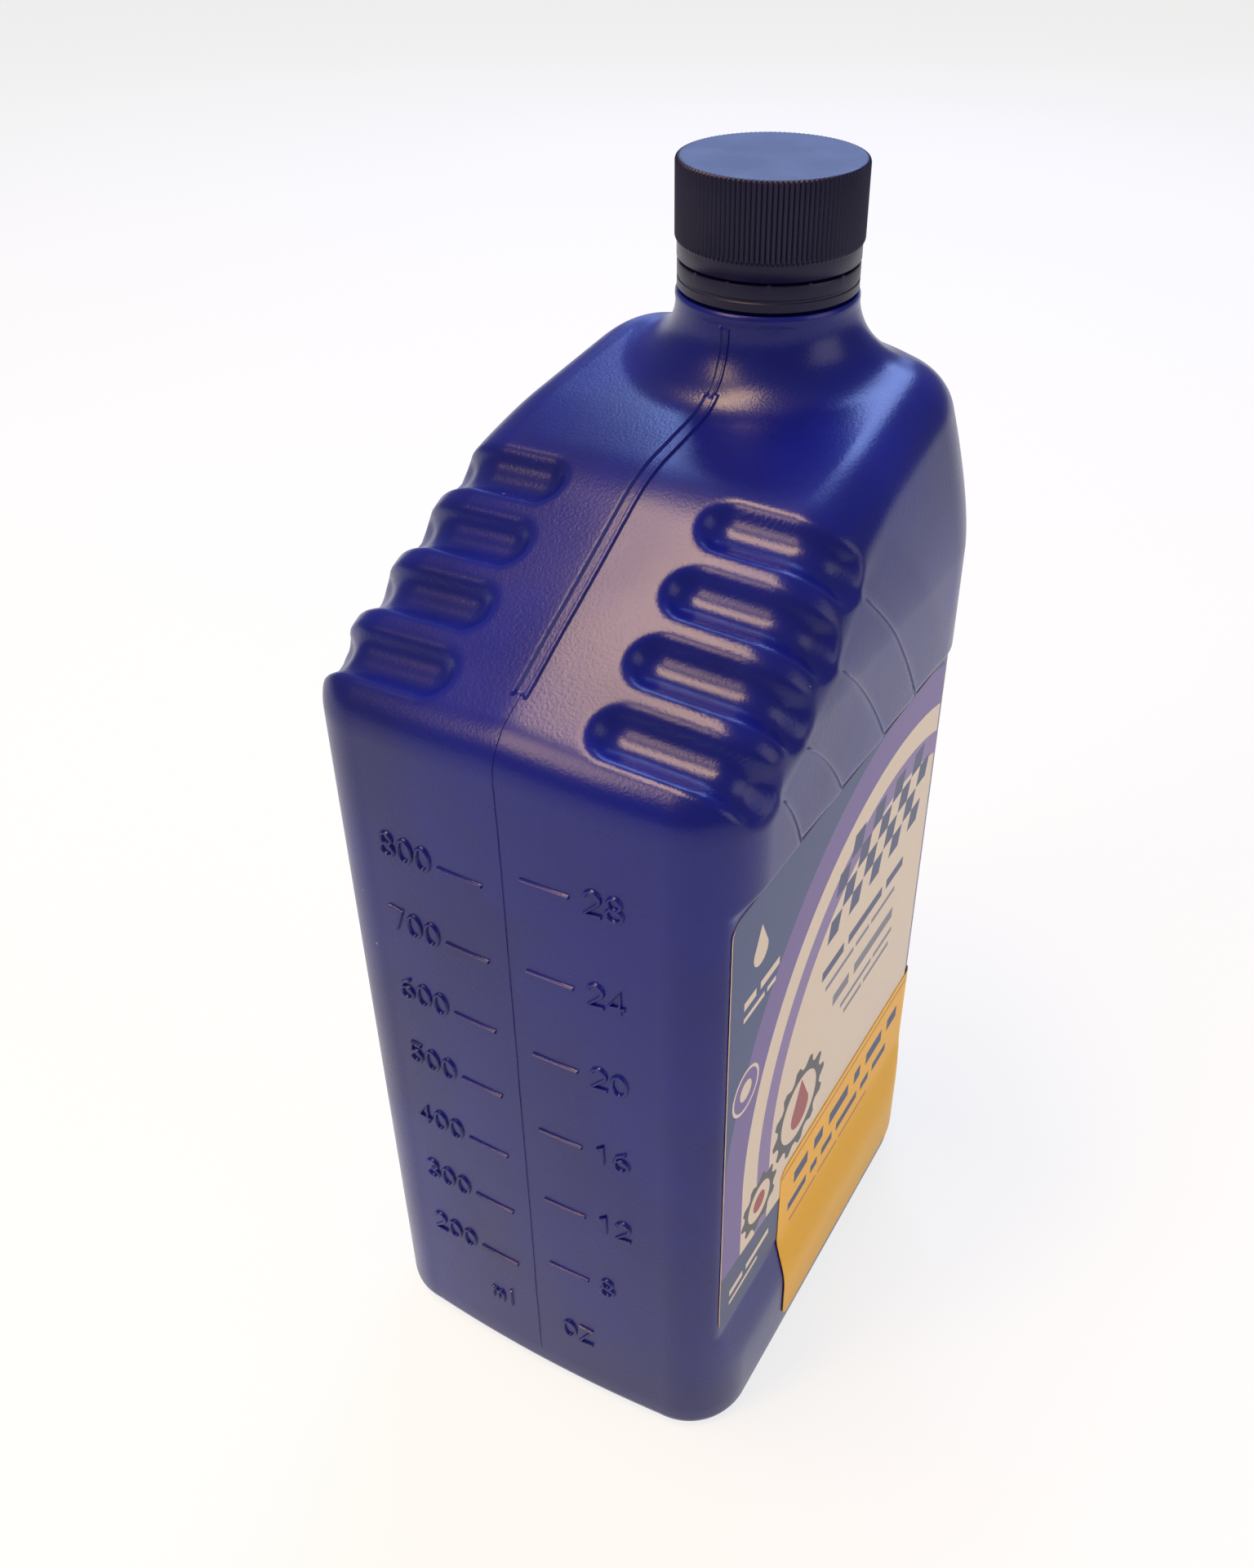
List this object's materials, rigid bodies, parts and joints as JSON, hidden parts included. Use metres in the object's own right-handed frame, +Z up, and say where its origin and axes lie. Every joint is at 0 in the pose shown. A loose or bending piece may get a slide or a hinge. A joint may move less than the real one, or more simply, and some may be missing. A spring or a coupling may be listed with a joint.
{
  "type": "motor oil bottle",
  "caption": "Rectangular blow-moulded oil bottle with an offset neck, grooved grip slopes, sunk label panels and a ribbed screw cap.",
  "frame": {"origin": "middle of the footprint, on the surface that the bottle stands on", "axes": "+Z up, +X towards the offset neck, -X towards the narrow scale face, -Y towards the front label"},
  "size_m": [0.102, 0.0743, 0.2053],
  "materials": {
    "bottle_plastic": "satin",
    "cap_plastic": "satin",
    "liner_foam": "matte",
    "label_film": "semi-gloss",
    "sticker_paper": "semi-gloss"
  },
  "bodies": {
    "bottle": {"bottle": "bottle_plastic", "tamper_band": "cap_plastic", "front_label": "label_film", "back_label": "label_film", "promo_sticker": "sticker_paper"},
    "liner": {"cap_liner": "liner_foam"},
    "cap": {"cap": "cap_plastic"}
  },
  "joints": [
    {"name": "cap_rise", "type": "slide", "parent": "bottle", "child": "liner", "axis": [0, 0, 1], "range_m": [0, 0.0205]},
    {"name": "cap_turn", "type": "hinge", "parent": "liner", "child": "cap", "pos_m": [0.0305, 0, 0.195], "axis": [0, 0, 1], "range_deg": [0, 1800]}
  ],
  "couplings": [
    {"joint": "cap_rise", "follows": "cap_turn", "m_per_rad": 0.00063662}
  ]
}
